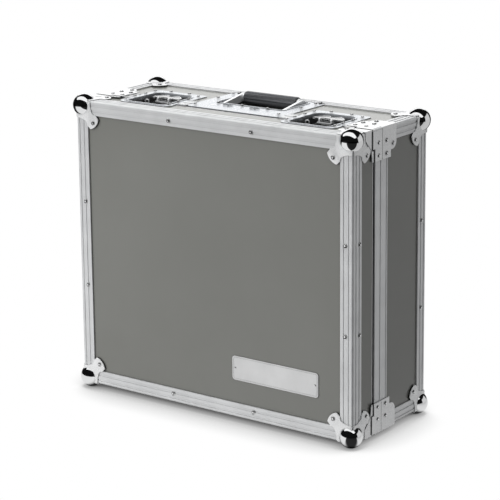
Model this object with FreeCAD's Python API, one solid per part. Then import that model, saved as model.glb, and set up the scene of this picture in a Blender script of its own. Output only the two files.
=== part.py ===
import FreeCAD, Part
import math
import os

# Flight case for a guitar pedalboard, shut and standing on its four lower ball corners.
# +X is to the right seen from the front, +Y to the back and +Z up. Lengths are millimetres.
# The origin is on the floor, below the middle of the case.
# The pieces are modelled about the middle of the case and lifted when they are written.

Vector = FreeCAD.Vector
X, Y, Z = range(3)

# Case, measured over the edge angles
case_width = 507.0
case_depth = 197.0
case_height = 453.0
lid_depth = 54.0
seam_gap = 3.0
panel_thickness = 7.0

# Edge angles
angle_leg = 22.0
angle_thickness = 2.0
angle_round = 3.0
ridge_width = 5.2
ridge_height = 0.7

# Closing profiles at the seam
strip_width = 33.0
strip_edge = 2.2
strip_rib = 3.5
groove_reach = 6.5
web_thickness = 1.5
inner_lip = 1.5
base_lip_width = 22.0
lid_lip_width = 16.0
tongue_thickness = 1.8
tongue_bite = 3.5
tongue_drop = 3.5

# Pressed steel plates
sheet = 1.2
bead_width = 2.6
bead_height = 0.8
cut_clearance = 0.6

# Ball corners
ball_radius = 17.5
ball_inset = 8.5
corner_slit = 0.6
corner_reach = 28.0
corner_flange = 10.0
neck_reach = 33.5
neck_half = 9.6
waist_reach = 39.0
fan_start = 41.5
fan_half = 12.0
fan_end = 50.3
fan_end_half = 11.2
fan_reach = 53.6

# Seam brackets
bracket_step = 28.0
bracket_drop = 46.0
bracket_tab_lead = 8.3
bracket_gap = 2.0
bracket_lap = 1.4
base_bracket_length = 39.3
bracket_ear_length = 54.0
bracket_ear_drop = 35.0
bracket_ear_round = 7.0
lid_strip_width = 6.0
lid_strip_gap = 1.5

# Latches
latch_offset_share = 0.592
latch_half_width = 48.5
keeper_flange_length = 23.0
latch_flange_length = 78.0
latch_front_round = 14.0
latch_rear_round = 6.0
recess_half_width = 36.0
keeper_recess_length = 16.5
latch_recess_length = 62.5
latch_recess_round = 16.0
keeper_recess_round = 9.0
latch_floor = 14.5
keeper_floor = 18.2
keeper_lip_from_seam = 3.4
keeper_lip_thickness = 1.5
keeper_lip_depth = 14.6
spindle_from_seam = 29.0
hook_travel = 9.0
hook_slope = 20.0
hook_thickness = 2.0
hook_body_half = 11.0
hook_body_margin = 8.0
hook_arm_half = 7.0
claw_thickness = 2.2
running_gap = 0.3
bore_clearance = 0.05
crank_pin_radius = 2.25
slot_play = 1.3
bridge_half_length = 10.0
bridge_half_width = 15.4
bridge_thickness = 1.4
bridge_foot = 4.6
spindle_hub_radius = 7.5
yoke_half_depth = 6.5
yoke_thickness = 1.8
yoke_gap = 0.2
wing_axis_depth = 2.9
wing_thickness = 2.2
wing_radius = 27.0
wing_root = 4.4
wing_notch_half = 8.0
wing_notch_depth = 7.5
barrel_radius = 2.1
barrel_half = 8.6
ear_inner = 9.0
ear_thickness = 3.0
ear_half = 2.8
trunnion_radius = 1.2

# Handle
handle_side_gap = 15.5
handle_seam_gap = 1.0
handle_from_rear = 16.0
handle_round = 8.0
well_side_flange = 24.5
well_front_flange = 45.0
well_rear_flange = 7.5
well_round = 6.0
well_depth = 24.0
grip_radius = 9.5
grip_end_bevel = 2.0
grip_from_well_rear = 11.5
grip_above_top = -0.7
bail_rod_radius = 4.0
bail_arm_thickness = 4.5
bail_arm_half = 5.5
bail_collar_radius = 7.0
bail_collar_length = 3.5
pivot_from_well_front = 7.5
pivot_depth = 8.2
pivot_radius = 2.5
pivot_head_radius = 4.5
pivot_head = 1.2
arm_side_gap = 4.5

# Hinges
hinge_offset_share = 0.592
hinge_length = 60.0
hinge_leaf = 28.0
hinge_leaf_thickness = 1.5
knuckle_radius = 3.5
hinge_pin_radius = 1.5
hinge_axis_out = 1.5
knuckle_gap = 0.3

# Foam lining
base_foam = 10.0
wall_foam = 8.0
lid_foam = 10.0
foam_clearance = 1.0

# Nameplate
plate_from_right = 60.5
plate_width = 154.7
plate_low = 58.0
plate_height = 37.5
plate_round = 5.0
plate_thickness = 1.0

# Cuts run past the faces that they open by this much
overrun = 5.0

# Places that follow from the sizes above
half_size = (case_width / 2, case_depth / 2, case_height / 2)
front_y = -half_size[Y]
rear_y = half_size[Y]
top_z = half_size[Z]
lid_edge = front_y + lid_depth
base_edge = lid_edge + seam_gap
seam_middle = lid_edge + seam_gap / 2
wall_inset = angle_thickness + panel_thickness
ball_proud = ball_radius - ball_inset
groove_width = (angle_leg - 3 * ridge_width) / 2
strip_end = base_edge + strip_width
hinge_axis_z = -(top_z + hinge_axis_out)
latch_offset = latch_offset_share * half_size[X]
latch_rear = base_edge + latch_flange_length
latch_recess_rear = base_edge + latch_recess_length
keeper_front = lid_edge - keeper_flange_length
keeper_recess_front = lid_edge - keeper_recess_length
spindle_y = base_edge + spindle_from_seam
hinge_offset = hinge_offset_share * half_size[X]
handle_half_width = latch_offset - latch_half_width - handle_side_gap
handle_front = base_edge + handle_seam_gap
handle_rear = rear_y - handle_from_rear
well_half_width = handle_half_width - well_side_flange
well_front = handle_front + well_front_flange
well_rear = handle_rear - well_rear_flange
pivot_y = well_front + pivot_from_well_front
grip_y = well_rear - grip_from_well_rear
bail_inner = well_half_width - arm_side_gap - bail_arm_thickness
grip_length = 2 * (bail_inner - bail_collar_length)
crank = hook_travel * math.cos(math.radians(hook_slope)) / 2
hook_rise = hook_travel * math.sin(math.radians(hook_slope))
diagonal = math.sqrt(2)


def box(low, high):
    """Block between two corners, each given as x, y, z."""
    size = [top - bottom for bottom, top in zip(low, high)]
    return Part.makeBox(size[X], size[Y], size[Z], Vector(*low))


def rod(start, end, radius):
    """Round bar between two points."""
    run = end.sub(start)
    return Part.makeCylinder(radius, run.Length, start, run)


def outline(points, place):
    """Closed wire through plane points. A pair of points is an arc through the first."""
    here = place(*points[0])
    first = here
    edges = []
    for point in points[1:]:
        if isinstance(point[0], tuple):
            middle = place(*point[0])
            end = place(*point[1])
            edges.append(Part.Arc(here, middle, end).toShape())
        else:
            end = place(*point)
            edges.append(Part.LineSegment(here, end).toShape())
        here = end
    if here.distanceToPoint(first) > 0:
        edges.append(Part.LineSegment(here, first).toShape())
    return Part.Wire(edges)


def extruded(points, place, travel):
    """Solid swept from a plane outline along a vector."""
    return Part.Face(outline(points, place)).extrude(travel)


def along(axis, length):
    """Vector of the given length along one axis."""
    values = [0, 0, 0]
    values[axis] = length
    return Vector(*values)


def mirrored(shape, axis):
    """Copy of a shape on the other side of the case's middle plane."""
    return shape.mirror(Vector(0, 0, 0), along(axis, 1))


def joined(shapes):
    """One solid from pieces that touch or overlap."""
    whole = shapes[0]
    for shape in shapes[1:]:
        whole = whole.fuse(shape)
    return whole.removeSplitter()


def write(name, shapes):
    """Lift the solids of one node to the floor and write them."""
    placed = []
    for shape in shapes:
        copy = shape.copy()
        copy.translate(Vector(0, 0, top_z + ball_proud))
        placed.extend(copy.Solids)
    node = placed[0] if len(placed) == 1 else Part.makeCompound(placed)
    node.exportStep(os.path.join("parts", name + ".step"))


def rounded_rectangle(x_low, x_high, y_low, y_high, low_round, high_round):
    """Plane points of a rectangle with its own corner radius at each end in y."""
    share = 1 - math.sqrt(0.5)
    points = [(x_low + low_round, y_low), (x_high - low_round, y_low)]
    if low_round > 0:
        points.append(((x_high - share * low_round, y_low + share * low_round),
                       (x_high, y_low + low_round)))
    points.append((x_high, y_high - high_round))
    if high_round > 0:
        points.append(((x_high - share * high_round, y_high - share * high_round),
                       (x_high - high_round, y_high)))
    points.append((x_low + high_round, y_high))
    if high_round > 0:
        points.append(((x_low + share * high_round, y_high - share * high_round),
                       (x_low, y_high - high_round)))
    points.append((x_low, y_low + low_round))
    if low_round > 0:
        points.append(((x_low + share * low_round, y_low + share * low_round),
                       (x_low + low_round, y_low)))
    return points


def top_slab(points, shallow, deep):
    """Solid with a plan outline, between two depths below the top of the case."""
    return extruded(points, lambda x, y: Vector(x, y, top_z - deep), along(Z, deep - shallow))


def mitred(shape, run, run_side, face, face_side):
    """Cut one end of a bar at 45 degrees, where it meets the bar of the next edge."""
    third = X + Y + Z - run - face
    reach = angle_leg + overrun
    run_plane = run_side * half_size[run]
    face_plane = face_side * half_size[face]

    def place(from_run, from_face):
        values = [0, 0, 0]
        values[run] = run_plane - run_side * from_run
        values[face] = face_plane - face_side * from_face
        values[third] = -half_size[third] - overrun
        return Vector(*values)

    wedge = [(-overrun, -overrun), (-overrun, reach), (reach, reach)]
    return shape.cut(extruded(wedge, place, along(third, 2 * (half_size[third] + overrun))))


def angle_section():
    """Ribbed angle: three ridges and two grooves on each leg, with a round outer corner."""
    share = 1 - math.sqrt(0.5)
    steps = []
    edge = ridge_width
    for groove in range(2):
        steps.append((0, edge))
        steps.append((ridge_height, edge))
        steps.append((ridge_height, edge + groove_width))
        steps.append((0, edge + groove_width))
        edge = edge + groove_width + ridge_width
    leg = [(0, angle_round)] + steps + [(0, angle_leg), (angle_thickness, angle_leg)]
    other_leg = [(b, a) for a, b in reversed(leg)]
    corner = ((share * angle_round, share * angle_round), (0, angle_round))
    return leg + [(angle_thickness, angle_thickness)] + other_leg + [corner]


def edge_angle(run, first, first_side, second, second_side, run_from, run_to):
    """Angle along one edge of the case, between two places on that edge."""
    def place(a, b):
        values = [0, 0, 0]
        values[run] = run_from
        values[first] = first_side * (half_size[first] - a)
        values[second] = second_side * (half_size[second] - b)
        return Vector(*values)

    bar = extruded(angle_section(), place, along(run, run_to - run_from))
    for end, side in ((run_from, -1), (run_to, 1)):
        if abs(end) >= half_size[run]:
            bar = mitred(bar, run, side, first, first_side)
            bar = mitred(bar, run, side, second, second_side)
    return bar


def frame_angles(face_side):
    """The four angles round the front (-1) or back (1) face, named by where they are."""
    wide = half_size[X]
    tall = half_size[Z]
    return {
        "top": edge_angle(X, Y, face_side, Z, 1, -wide, wide),
        "bottom": edge_angle(X, Y, face_side, Z, -1, -wide, wide),
        "left": edge_angle(Z, Y, face_side, X, -1, -tall, tall),
        "right": edge_angle(Z, Y, face_side, X, 1, -tall, tall),
    }


def depth_angles(run_from, run_to):
    """The four angles that run from front to back on one half of the case."""
    bars = []
    for x_side in (-1, 1):
        for z_side in (-1, 1):
            bars.append(edge_angle(Y, X, x_side, Z, z_side, run_from, run_to))
    return bars


def closing_bar(section, face, face_side, run):
    """Bar of a closing profile along one side of the seam, mitred at both ends."""
    def place(y, depth):
        values = [0, y, 0]
        values[run] = -half_size[run]
        values[face] = face_side * (half_size[face] - depth)
        return Vector(*values)

    bar = extruded(section, place, along(run, 2 * half_size[run]))
    for run_side in (-1, 1):
        bar = mitred(bar, run, run_side, face, face_side)
    return bar


def base_closing_section():
    """Ribbed outer strip, groove for the tongue, web and inner lip."""
    rib = base_edge + (strip_width - strip_rib) / 2
    skin = angle_thickness
    web = base_edge + groove_reach
    lip = wall_inset + inner_lip
    return [(base_edge, 0), (base_edge + strip_edge, 0), (base_edge + strip_edge, ridge_height),
            (rib, ridge_height), (rib, 0), (rib + strip_rib, 0), (rib + strip_rib, ridge_height),
            (strip_end - strip_edge, ridge_height), (strip_end - strip_edge, 0), (strip_end, 0),
            (strip_end, skin), (web + web_thickness, skin), (web + web_thickness, wall_inset),
            (base_edge + base_lip_width, wall_inset), (base_edge + base_lip_width, lip),
            (base_edge, lip), (base_edge, wall_inset), (web, wall_inset), (web, skin),
            (base_edge, skin)]


def lid_closing_section():
    """Web over the wall's edge, inner lip, and the tongue that enters the base's groove."""
    skin = angle_thickness
    lip = wall_inset + inner_lip
    tongue_top = skin + tongue_drop
    tongue_end = base_edge + tongue_bite
    return [(lid_edge, skin), (lid_edge - web_thickness, skin),
            (lid_edge - web_thickness, wall_inset), (lid_edge - lid_lip_width, wall_inset),
            (lid_edge - lid_lip_width, lip), (lid_edge, lip),
            (lid_edge, tongue_top + tongue_thickness),
            (tongue_end, tongue_top + tongue_thickness), (tongue_end, tongue_top),
            (lid_edge, tongue_top)]


def closing_set(section):
    """The closing profile's bars on the four sides of the case."""
    return {
        "top": closing_bar(section, Z, 1, X),
        "bottom": closing_bar(section, Z, -1, X),
        "left": closing_bar(section, X, -1, Z),
        "right": closing_bar(section, X, 1, Z),
    }


def latch_notches():
    """Blocks that take the closing profiles away where the two latches cross the seam."""
    reach = latch_half_width + bore_clearance + running_gap
    blocks = []
    for centre in (-latch_offset, latch_offset):
        blocks.append(box((centre - reach, front_y + angle_leg, top_z - keeper_floor - overrun),
                          (centre + reach, strip_end + overrun, top_z + overrun)))
    return blocks


def cut_all(shape, cutters):
    """A shape with every cutter taken away."""
    for cutter in cutters:
        shape = shape.cut(cutter)
    return shape


def walls(y_from, y_to):
    """The four wall panels of one half, with the top and bottom over the sides."""
    wide = half_size[X] - angle_thickness
    tall = half_size[Z] - angle_thickness
    inner_tall = half_size[Z] - wall_inset
    inner_wide = half_size[X] - wall_inset
    return {
        "top": box((-wide, y_from, inner_tall), (wide, y_to, tall)),
        "bottom": box((-wide, y_from, -tall), (wide, y_to, -inner_tall)),
        "left": box((-wide, y_from, -inner_tall), (-inner_wide, y_to, inner_tall)),
        "right": box((inner_wide, y_from, -inner_tall), (wide, y_to, inner_tall)),
    }


def face_panel(y_from, y_to):
    """The large panel at the front or the back, over the edges of the walls."""
    wide = half_size[X] - angle_thickness
    tall = half_size[Z] - angle_thickness
    return box((-wide, y_from, -tall), (wide, y_to, tall))


def corner_leg_outline():
    """Plan of one leg of a ball corner: a flange along two edges and a fan between them."""
    def turned(reach, half):
        return ((reach + half) / diagonal, (reach - half) / diagonal)

    side = [(neck_reach, neck_half), (waist_reach, neck_half), (fan_start, fan_half),
            (fan_end, fan_end_half)]
    right = [turned(reach, half) for reach, half in side]
    left = [turned(reach, -half) for reach, half in reversed(side)]
    tip = (turned(fan_reach, 0), left[0])
    return ([(corner_slit, corner_slit), (corner_reach, corner_slit),
             (corner_reach, corner_flange)] + right + [tip] + left[1:]
            + [(corner_flange, corner_reach), (corner_slit, corner_reach)])


def ball_corner():
    """Ball on three legs, seated on the corner at the right, back and top."""
    corner = Vector(*half_size)
    middle = corner.sub(Vector(ball_inset, ball_inset, ball_inset))
    inside = box([size - 2 * ball_radius for size in half_size], half_size)
    cap = Part.makeSphere(ball_radius, middle, Vector(-1, -1, -1)).cut(inside)
    legs = []
    for face in (X, Y, Z):
        first, second = [axis for axis in (X, Y, Z) if axis != face]

        def place(a, b):
            values = [0, 0, 0]
            values[face] = half_size[face]
            values[first] = half_size[first] - a
            values[second] = half_size[second] - b
            return Vector(*values)

        legs.append(extruded(corner_leg_outline(), place, along(face, sheet)))
    return joined([cap] + legs)


def ball_corners(y_side):
    """The four ball corners of the lid (-1) or the base (1)."""
    right_top = ball_corner() if y_side > 0 else mirrored(ball_corner(), Y)
    left_top = mirrored(right_top, X)
    return [right_top, left_top, mirrored(right_top, Z), mirrored(left_top, Z)]


def bracket(side_points, top_points):
    """Angle plate over the upper right edge: one leg on the side and one on the top."""
    side = extruded(side_points, lambda y, drop: Vector(half_size[X], y, top_z - drop),
                    along(X, sheet))
    top = extruded(top_points, lambda y, inward: Vector(half_size[X] - inward, y, top_z),
                   along(Z, sheet))
    return joined([side, top])


def base_bracket_points(lead):
    """Plan of one leg of a base bracket. The lead is how far it laps over the lid's edge."""
    front = base_edge - lead
    lower_front = base_edge - bracket_lap
    end = base_edge + base_bracket_length
    ear_end = base_edge + bracket_ear_length
    ear_mid = ((end + ear_end + bracket_ear_round) / 2, bracket_ear_drop - bracket_ear_round / 3)
    return [(front, -sheet), (front, bracket_step), (lower_front, bracket_step),
            (lower_front, bracket_drop), (end, bracket_drop), (end, bracket_ear_drop),
            (ear_mid, (ear_end, angle_leg)), (ear_end, -sheet)]


def base_bottom_points():
    """Plan of the leg on the bottom, which stops behind the hinge line."""
    end = base_edge + base_bracket_length
    return [(base_edge, 0), (base_edge, bracket_drop), (end, bracket_drop),
            (end, 0)]


def lid_bracket_points():
    """Plan of one leg of a lid bracket, between the ball corner and the seam."""
    rear = base_edge - bracket_tab_lead - bracket_gap
    front = front_y + corner_reach + corner_slit + lid_strip_gap / 2
    strip_end_y = lid_edge - lid_strip_gap
    strip_start = strip_end_y - lid_strip_width
    step = bracket_step + bracket_gap
    flange = corner_flange + lid_strip_gap
    return [(front, -sheet), (rear, -sheet), (rear, step), (strip_end_y, step),
            (strip_end_y, bracket_drop), (strip_start + lid_strip_gap, bracket_drop),
            (strip_start - lid_strip_gap, bracket_step), (front, flange)]


def without_wrap(points):
    """The same plan for the leg that butts against the other, starting at the edge."""
    return [(y, max(drop, 0)) if not isinstance(y, tuple) else (y, drop) for y, drop in points]


def seam_brackets():
    """The base's and the lid's brackets at the four corners of the seam."""
    upper = bracket(base_bracket_points(bracket_tab_lead),
                    without_wrap(base_bracket_points(bracket_tab_lead)))
    side_leg = extruded(base_bracket_points(bracket_tab_lead),
                        lambda y, drop: Vector(half_size[X], y, top_z - drop), along(X, sheet))
    side_leg = side_leg.cut(box((0, front_y, top_z), (case_width, base_edge, top_z + overrun)))
    flat_leg = extruded(base_bottom_points(),
                        lambda y, inward: Vector(half_size[X] - inward, y, top_z),
                        along(Z, sheet))
    lower = mirrored(joined([side_leg, flat_leg]), Z)
    lid_upper = bracket(lid_bracket_points(), without_wrap(lid_bracket_points()))
    lid_lower = mirrored(lid_upper, Z)
    base = [upper, lower, mirrored(upper, X), mirrored(lower, X)]
    lid = [lid_upper, lid_lower, mirrored(lid_upper, X), mirrored(lid_lower, X)]
    return base, lid


def pressed_dish(flange, opening, rim, pan, floor_depth):
    """Dish with a flange on the panel, a beaded rim and a pan. Each argument is a plan."""
    flange_top = angle_thickness - sheet
    plate = top_slab(flange, flange_top, angle_thickness)
    bead = top_slab(rim, flange_top - bead_height, angle_thickness)
    shell = top_slab(pan, angle_thickness, floor_depth + sheet)
    hollow = top_slab(opening, -overrun, floor_depth)
    return joined([plate, bead, shell]).cut(hollow)


def keeper_dish(centre):
    """The lid's half of a latch dish, with the lip that the hook's claw pulls on."""
    def plan(grow, front_round):
        return rounded_rectangle(centre - recess_half_width - grow,
                                 centre + recess_half_width + grow,
                                 keeper_recess_front - grow, lid_edge,
                                 front_round + grow, 0)

    flange = rounded_rectangle(centre - latch_half_width, centre + latch_half_width,
                               keeper_front, lid_edge, latch_front_round, 0)
    dish = pressed_dish(flange, plan(0, keeper_recess_round), plan(bead_width, keeper_recess_round),
                        plan(sheet, keeper_recess_round), keeper_floor)
    lip_front = lid_edge - keeper_lip_from_seam
    lip_rear = lip_front + keeper_lip_thickness
    behind_lip = box((centre - latch_half_width, lip_rear, top_z - keeper_floor - overrun),
                     (centre + latch_half_width, lid_edge + overrun, top_z - angle_thickness))
    lip = box((centre - recess_half_width - sheet / 2, lip_front, top_z - keeper_floor - sheet),
              (centre + recess_half_width + sheet / 2, lip_rear, top_z - keeper_lip_depth))
    return joined([dish.cut(behind_lip), lip])


def latch_dish(centre):
    """The base's half of a latch dish, open towards the seam."""
    def plan(grow):
        return rounded_rectangle(centre - recess_half_width - grow,
                                 centre + recess_half_width + grow, base_edge,
                                 latch_recess_rear + grow, 0,
                                 latch_recess_round + grow)

    flange = rounded_rectangle(centre - latch_half_width, centre + latch_half_width, base_edge,
                               latch_rear, 0, latch_rear_round)
    return pressed_dish(flange, plan(0), plan(bead_width), plan(sheet), latch_floor)


# Depths below the top of the case at which the latch's pieces are stacked
hook_low_released = latch_floor - running_gap - hook_rise
hook_top_released = hook_low_released - hook_thickness
bridge_low = hook_top_released - running_gap
bridge_top = bridge_low - bridge_thickness
yoke_low = bridge_top - yoke_gap
yoke_top = yoke_low - yoke_thickness


def latch_bridge(centre):
    """Staple over the hook, with the bore that carries the spindle's hub."""
    def block(half_x_from, half_x_to, shallow, deep):
        pair = []
        for side in (-1, 1):
            ends = sorted((centre + side * half_x_from, centre + side * half_x_to))
            pair.append(box((ends[0], spindle_y - bridge_half_length, top_z - deep),
                            (ends[1], spindle_y + bridge_half_length, top_z - shallow)))
        return pair

    plate = block(0, bridge_half_width, bridge_top, bridge_low)
    legs = block(bridge_half_width - bridge_thickness, bridge_half_width, bridge_low, latch_floor)
    feet = block(bridge_half_width, bridge_half_width + bridge_foot,
                 latch_floor - bridge_thickness, latch_floor)
    bore = rod(Vector(centre, spindle_y, top_z - bridge_low - overrun),
               Vector(centre, spindle_y, top_z), spindle_hub_radius + bore_clearance)
    return joined(plate + legs + feet).cut(bore)


def latch_spindle(centre):
    """Hub with a crank pin below and a yoke above, whose two ears hold the wing."""
    def level(depth, y=0):
        return Vector(centre, spindle_y + y, top_z - depth)

    hub = rod(level(bridge_low), level(yoke_low), spindle_hub_radius)
    pin_end = latch_floor - 2 * running_gap
    crank_pin = rod(level(pin_end, -crank), level(bridge_low, -crank), crank_pin_radius)
    reach = ear_inner + ear_thickness
    plate = box((centre - reach, spindle_y - yoke_half_depth, top_z - yoke_low),
                (centre + reach, spindle_y + yoke_half_depth, top_z - yoke_top))
    axis_z = top_z - wing_axis_depth
    ear = [(-ear_half, top_z - yoke_top), (ear_half, top_z - yoke_top), (ear_half, axis_z),
           ((0, axis_z + ear_half), (-ear_half, axis_z))]
    ears = []
    for start in (centre - reach, centre + ear_inner):
        ears.append(extruded(ear, lambda y, z: Vector(start, spindle_y + y, z),
                             along(X, ear_thickness)))
    hole = rod(Vector(centre - reach - overrun, spindle_y, axis_z),
               Vector(centre + reach + overrun, spindle_y, axis_z),
               trunnion_radius + bore_clearance)
    return joined([hub, crank_pin, plate] + ears).cut(hole)


def latch_wing(centre):
    """Butterfly wing, folded flat towards the back, on a barrel with two trunnions."""
    root_x = math.sqrt(wing_radius ** 2 - wing_root ** 2)
    notch_y = math.sqrt(wing_radius ** 2 - wing_notch_half ** 2)
    lobe_angle = (math.atan2(wing_root, root_x) + math.atan2(notch_y, wing_notch_half)) / 2
    lobe_x = wing_radius * math.cos(lobe_angle)
    lobe_y = wing_radius * math.sin(lobe_angle)
    points = [(-barrel_half, 0), (barrel_half, 0), (barrel_half, wing_root), (root_x, wing_root),
              ((lobe_x, lobe_y), (wing_notch_half, notch_y)),
              ((0, notch_y - wing_notch_depth), (-wing_notch_half, notch_y)),
              ((-lobe_x, lobe_y), (-root_x, wing_root)), (-barrel_half, wing_root)]
    axis_z = top_z - wing_axis_depth
    low = axis_z - wing_thickness / 2
    flap = extruded(points, lambda x, y: Vector(centre + x, spindle_y + y, low),
                    along(Z, wing_thickness))

    def bar(half, radius):
        return rod(Vector(centre - half, spindle_y, axis_z),
                   Vector(centre + half, spindle_y, axis_z), radius)

    return joined([flap, bar(barrel_half, barrel_radius),
                   bar(ear_inner + ear_thickness, trunnion_radius)])


def latch_hook(centre):
    """Hook plate at its released end: cross slot for the crank, arm and claw."""
    low = top_z - hook_low_released
    lip_front = lid_edge - keeper_lip_from_seam
    travel_y = 2 * crank
    claw_rear = lip_front - running_gap - travel_y
    claw_front = claw_rear - claw_thickness
    claw_low = top_z - keeper_lip_depth + running_gap
    body_front = spindle_y - crank - hook_body_margin
    body_rear = spindle_y - crank + hook_body_margin
    plate = box((centre - hook_body_half, body_front, low),
                (centre + hook_body_half, body_rear, low + hook_thickness))
    arm = box((centre - hook_arm_half, claw_front, low),
              (centre + hook_arm_half, body_front, low + hook_thickness))
    claw = box((centre - hook_arm_half, claw_front, claw_low),
               (centre + hook_arm_half, claw_rear, low + hook_thickness))
    slot_half = crank_pin_radius + slot_play
    slot_reach = crank + crank_pin_radius + running_gap
    slot = box((centre - slot_reach, spindle_y - crank - slot_half, low - overrun),
               (centre + slot_reach, spindle_y - crank + slot_half, low + hook_thickness + overrun))
    return joined([plate, arm, claw]).cut(slot)


def handle_dish():
    """Recess for the handle: wide flange, beaded rim and a deep pan with pivot holes."""
    def plan(grow):
        return rounded_rectangle(-well_half_width - grow, well_half_width + grow,
                                 well_front - grow, well_rear + grow,
                                 well_round + grow, well_round + grow)

    flange = rounded_rectangle(-handle_half_width, handle_half_width, handle_front,
                               handle_rear, handle_round, handle_round)
    dish = pressed_dish(flange, plan(0), plan(bead_width), plan(sheet), well_depth)
    return dish.cut(rod(pivot_point(-handle_half_width), pivot_point(handle_half_width),
                        pivot_radius + bore_clearance))


def pivot_point(x):
    """Point on the handle's pivot line."""
    return Vector(x, pivot_y, top_z - pivot_depth)


def grip_point(x):
    """Point on the middle line of the handle's grip."""
    return Vector(x, grip_y, top_z + grip_above_top)


def bail_arm(side):
    """Flat arm with round ends from the pivot to the grip."""
    outer = well_half_width - arm_side_gap
    start = min(side * outer, side * (outer - bail_arm_thickness))
    pivot = pivot_point(start)
    grip = grip_point(start)
    run = grip.sub(pivot).normalize()
    rise = Vector(0, -run.z, run.y)
    ends = [pivot.sub(rise * bail_arm_half), grip.sub(rise * bail_arm_half),
            grip.add(run * bail_arm_half), grip.add(rise * bail_arm_half),
            pivot.add(rise * bail_arm_half), pivot.sub(run * bail_arm_half)]
    edges = [Part.LineSegment(ends[0], ends[1]).toShape(),
             Part.Arc(ends[1], ends[2], ends[3]).toShape(),
             Part.LineSegment(ends[3], ends[4]).toShape(),
             Part.Arc(ends[4], ends[5], ends[0]).toShape()]
    arm = Part.Face(Part.Wire(edges)).extrude(along(X, bail_arm_thickness))
    return arm.cut(rod(pivot_point(start - overrun),
                       pivot_point(start + bail_arm_thickness + overrun),
                       pivot_radius + bore_clearance))


def handle_bail():
    """Two arms, the rod through the grip and a collar at each end of the grip."""
    half_grip = grip_length / 2
    pieces = [bail_arm(-1), bail_arm(1)]
    pieces.append(rod(grip_point(-bail_inner), grip_point(bail_inner), bail_rod_radius))
    for side in (-1, 1):
        ends = sorted((side * half_grip, side * bail_inner))
        pieces.append(rod(grip_point(ends[0]), grip_point(ends[1]), bail_collar_radius))
    return joined(pieces)


def handle_grip():
    """Rubber tube with bevelled ends over the bail's rod."""
    half = grip_length / 2
    bore = bail_rod_radius + bore_clearance
    end_radius = grip_radius - grip_end_bevel
    side = [(-half, bore), (half, bore), (half, end_radius), (half - grip_end_bevel, grip_radius),
            (grip_end_bevel - half, grip_radius), (-half, end_radius)]
    middle = grip_point(0)
    section = outline(side, lambda x, r: middle.add(Vector(x, r, 0)))
    return Part.Face(section).revolve(middle, Vector(1, 0, 0), 360)


def pivot_pins():
    """Headed pins through the dish walls into the arms."""
    outer = well_half_width + sheet
    pins = []
    for side in (-1, 1):
        shank = rod(pivot_point(side * bail_inner), pivot_point(side * outer), pivot_radius)
        head = rod(pivot_point(side * outer), pivot_point(side * (outer + pivot_head)),
                   pivot_head_radius)
        pins.append(joined([shank, head]))
    return pins


def hinge_point(x):
    """Point on the line of the lid's hinges."""
    return Vector(x, seam_middle, hinge_axis_z)


def hinge_leaves(centre):
    """Base leaf with two knuckles, lid leaf with one, and the pin."""
    third = hinge_length / 3
    low = -top_z + angle_thickness - hinge_leaf_thickness
    high = -top_z + angle_thickness
    bore = rod(hinge_point(centre - hinge_length), hinge_point(centre + hinge_length),
               hinge_pin_radius + bore_clearance)

    def knuckle(start, end):
        return rod(hinge_point(start), hinge_point(end), knuckle_radius)

    left = centre - hinge_length / 2
    right = centre + hinge_length / 2
    base_leaf = box((left, seam_middle, low), (right, seam_middle + hinge_leaf, high))
    lid_leaf = box((left, seam_middle - hinge_leaf, low), (right, seam_middle, high))
    room = knuckle_radius + knuckle_gap
    middle_room = rod(hinge_point(left + third - knuckle_gap),
                      hinge_point(right - third + knuckle_gap), room)
    end_room = [rod(hinge_point(left - overrun), hinge_point(left + third), room),
                rod(hinge_point(right - third), hinge_point(right + overrun), room)]
    base_leaf = base_leaf.cut(middle_room)
    lid_leaf = cut_all(lid_leaf, end_room)
    base_piece = joined([base_leaf, knuckle(left, left + third), knuckle(right - third, right)])
    lid_piece = joined([lid_leaf, knuckle(left + third + knuckle_gap, right - third - knuckle_gap)])
    pin = rod(hinge_point(left), hinge_point(right), hinge_pin_radius)
    return base_piece.cut(bore), lid_piece.cut(bore), pin


def nameplate():
    """Blank plate on the front panel."""
    right = half_size[X] - plate_from_right
    left = right - plate_width
    low = plate_low - half_size[Z]
    high = low + plate_height
    back = front_y + angle_thickness
    return extruded(rounded_rectangle(left, right, low, high, plate_round, plate_round),
                    lambda x, z: Vector(x, back, z), along(Y, -plate_thickness))


def foam_blocks(front, rear, low, high):
    """Foam on the base's top wall: blocks beside, behind and between the dishes' pans."""
    grow = sheet + cut_clearance + foam_clearance
    wide = half_size[X] - wall_inset - wall_foam
    latch_inner = latch_offset - recess_half_width - grow
    latch_outer = latch_offset + recess_half_width + grow
    well_side = well_half_width + grow + pivot_head
    behind_latch = latch_recess_rear + grow
    behind_well = well_rear + grow
    right = [box((well_side, front, low), (latch_inner, behind_well, high)),
             box((latch_inner, behind_latch, low), (latch_outer, behind_well, high)),
             box((latch_outer, front, low), (wide, behind_well, high))]
    middle = [box((-well_side, front, low), (well_side, well_front - grow, high)),
              box((-wide, behind_well, low), (wide, rear, high))]
    return right + [mirrored(block, X) for block in right] + middle


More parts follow.
